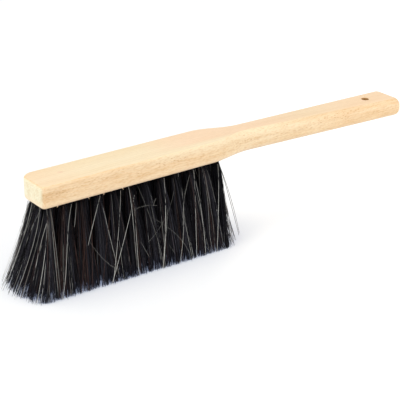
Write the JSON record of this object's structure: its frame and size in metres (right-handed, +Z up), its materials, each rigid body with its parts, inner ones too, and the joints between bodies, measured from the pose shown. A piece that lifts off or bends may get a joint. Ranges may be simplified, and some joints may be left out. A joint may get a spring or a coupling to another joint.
{
  "type": "hand brush",
  "caption": "Long-handled hand brush: one-piece wooden stock, waisted neck, hanging hole, and splayed bristle tufts in blind holes.",
  "frame": {"origin": "on the plane of the bristle tips, under the middle of the brush's overall length and width", "axes": "+Z up from the tips to the top of the head, +X along the handle away from the head, +Y across the head"},
  "size_m": [0.4672, 0.0753, 0.1075],
  "materials": {
    "beech": "satin",
    "bristle": "satin"
  },
  "bodies": {
    "root": {"stock": "beech", "tuft_a01": "bristle", "tuft_a02": "bristle", "tuft_a03": "bristle", "tuft_a04": "bristle", "tuft_a05": "bristle", "tuft_a06": "bristle", "tuft_a07": "bristle", "tuft_a08": "bristle", "tuft_a09": "bristle", "tuft_a10": "bristle", "tuft_a11": "bristle", "tuft_a12": "bristle", "tuft_b01": "bristle", "tuft_b02": "bristle", "tuft_b03": "bristle", "tuft_b04": "bristle", "tuft_b05": "bristle", "tuft_b06": "bristle", "tuft_b07": "bristle", "tuft_b08": "bristle", "tuft_b09": "bristle", "tuft_b10": "bristle", "tuft_b11": "bristle", "tuft_c01": "bristle", "tuft_c02": "bristle", "tuft_c03": "bristle", "tuft_c04": "bristle", "tuft_c05": "bristle", "tuft_c06": "bristle", "tuft_c07": "bristle", "tuft_c08": "bristle", "tuft_c09": "bristle", "tuft_c10": "bristle", "tuft_c11": "bristle", "tuft_c12": "bristle", "tuft_d01": "bristle", "tuft_d02": "bristle", "tuft_d03": "bristle", "tuft_d04": "bristle", "tuft_d05": "bristle", "tuft_d06": "bristle", "tuft_d07": "bristle", "tuft_d08": "bristle", "tuft_d09": "bristle", "tuft_d10": "bristle", "tuft_d11": "bristle", "tuft_e01": "bristle", "tuft_e02": "bristle", "tuft_e03": "bristle", "tuft_e04": "bristle", "tuft_e05": "bristle", "tuft_e06": "bristle", "tuft_e07": "bristle", "tuft_e08": "bristle", "tuft_e09": "bristle", "tuft_e10": "bristle", "tuft_e11": "bristle", "tuft_e12": "bristle"}
  },
  "joints": []
}
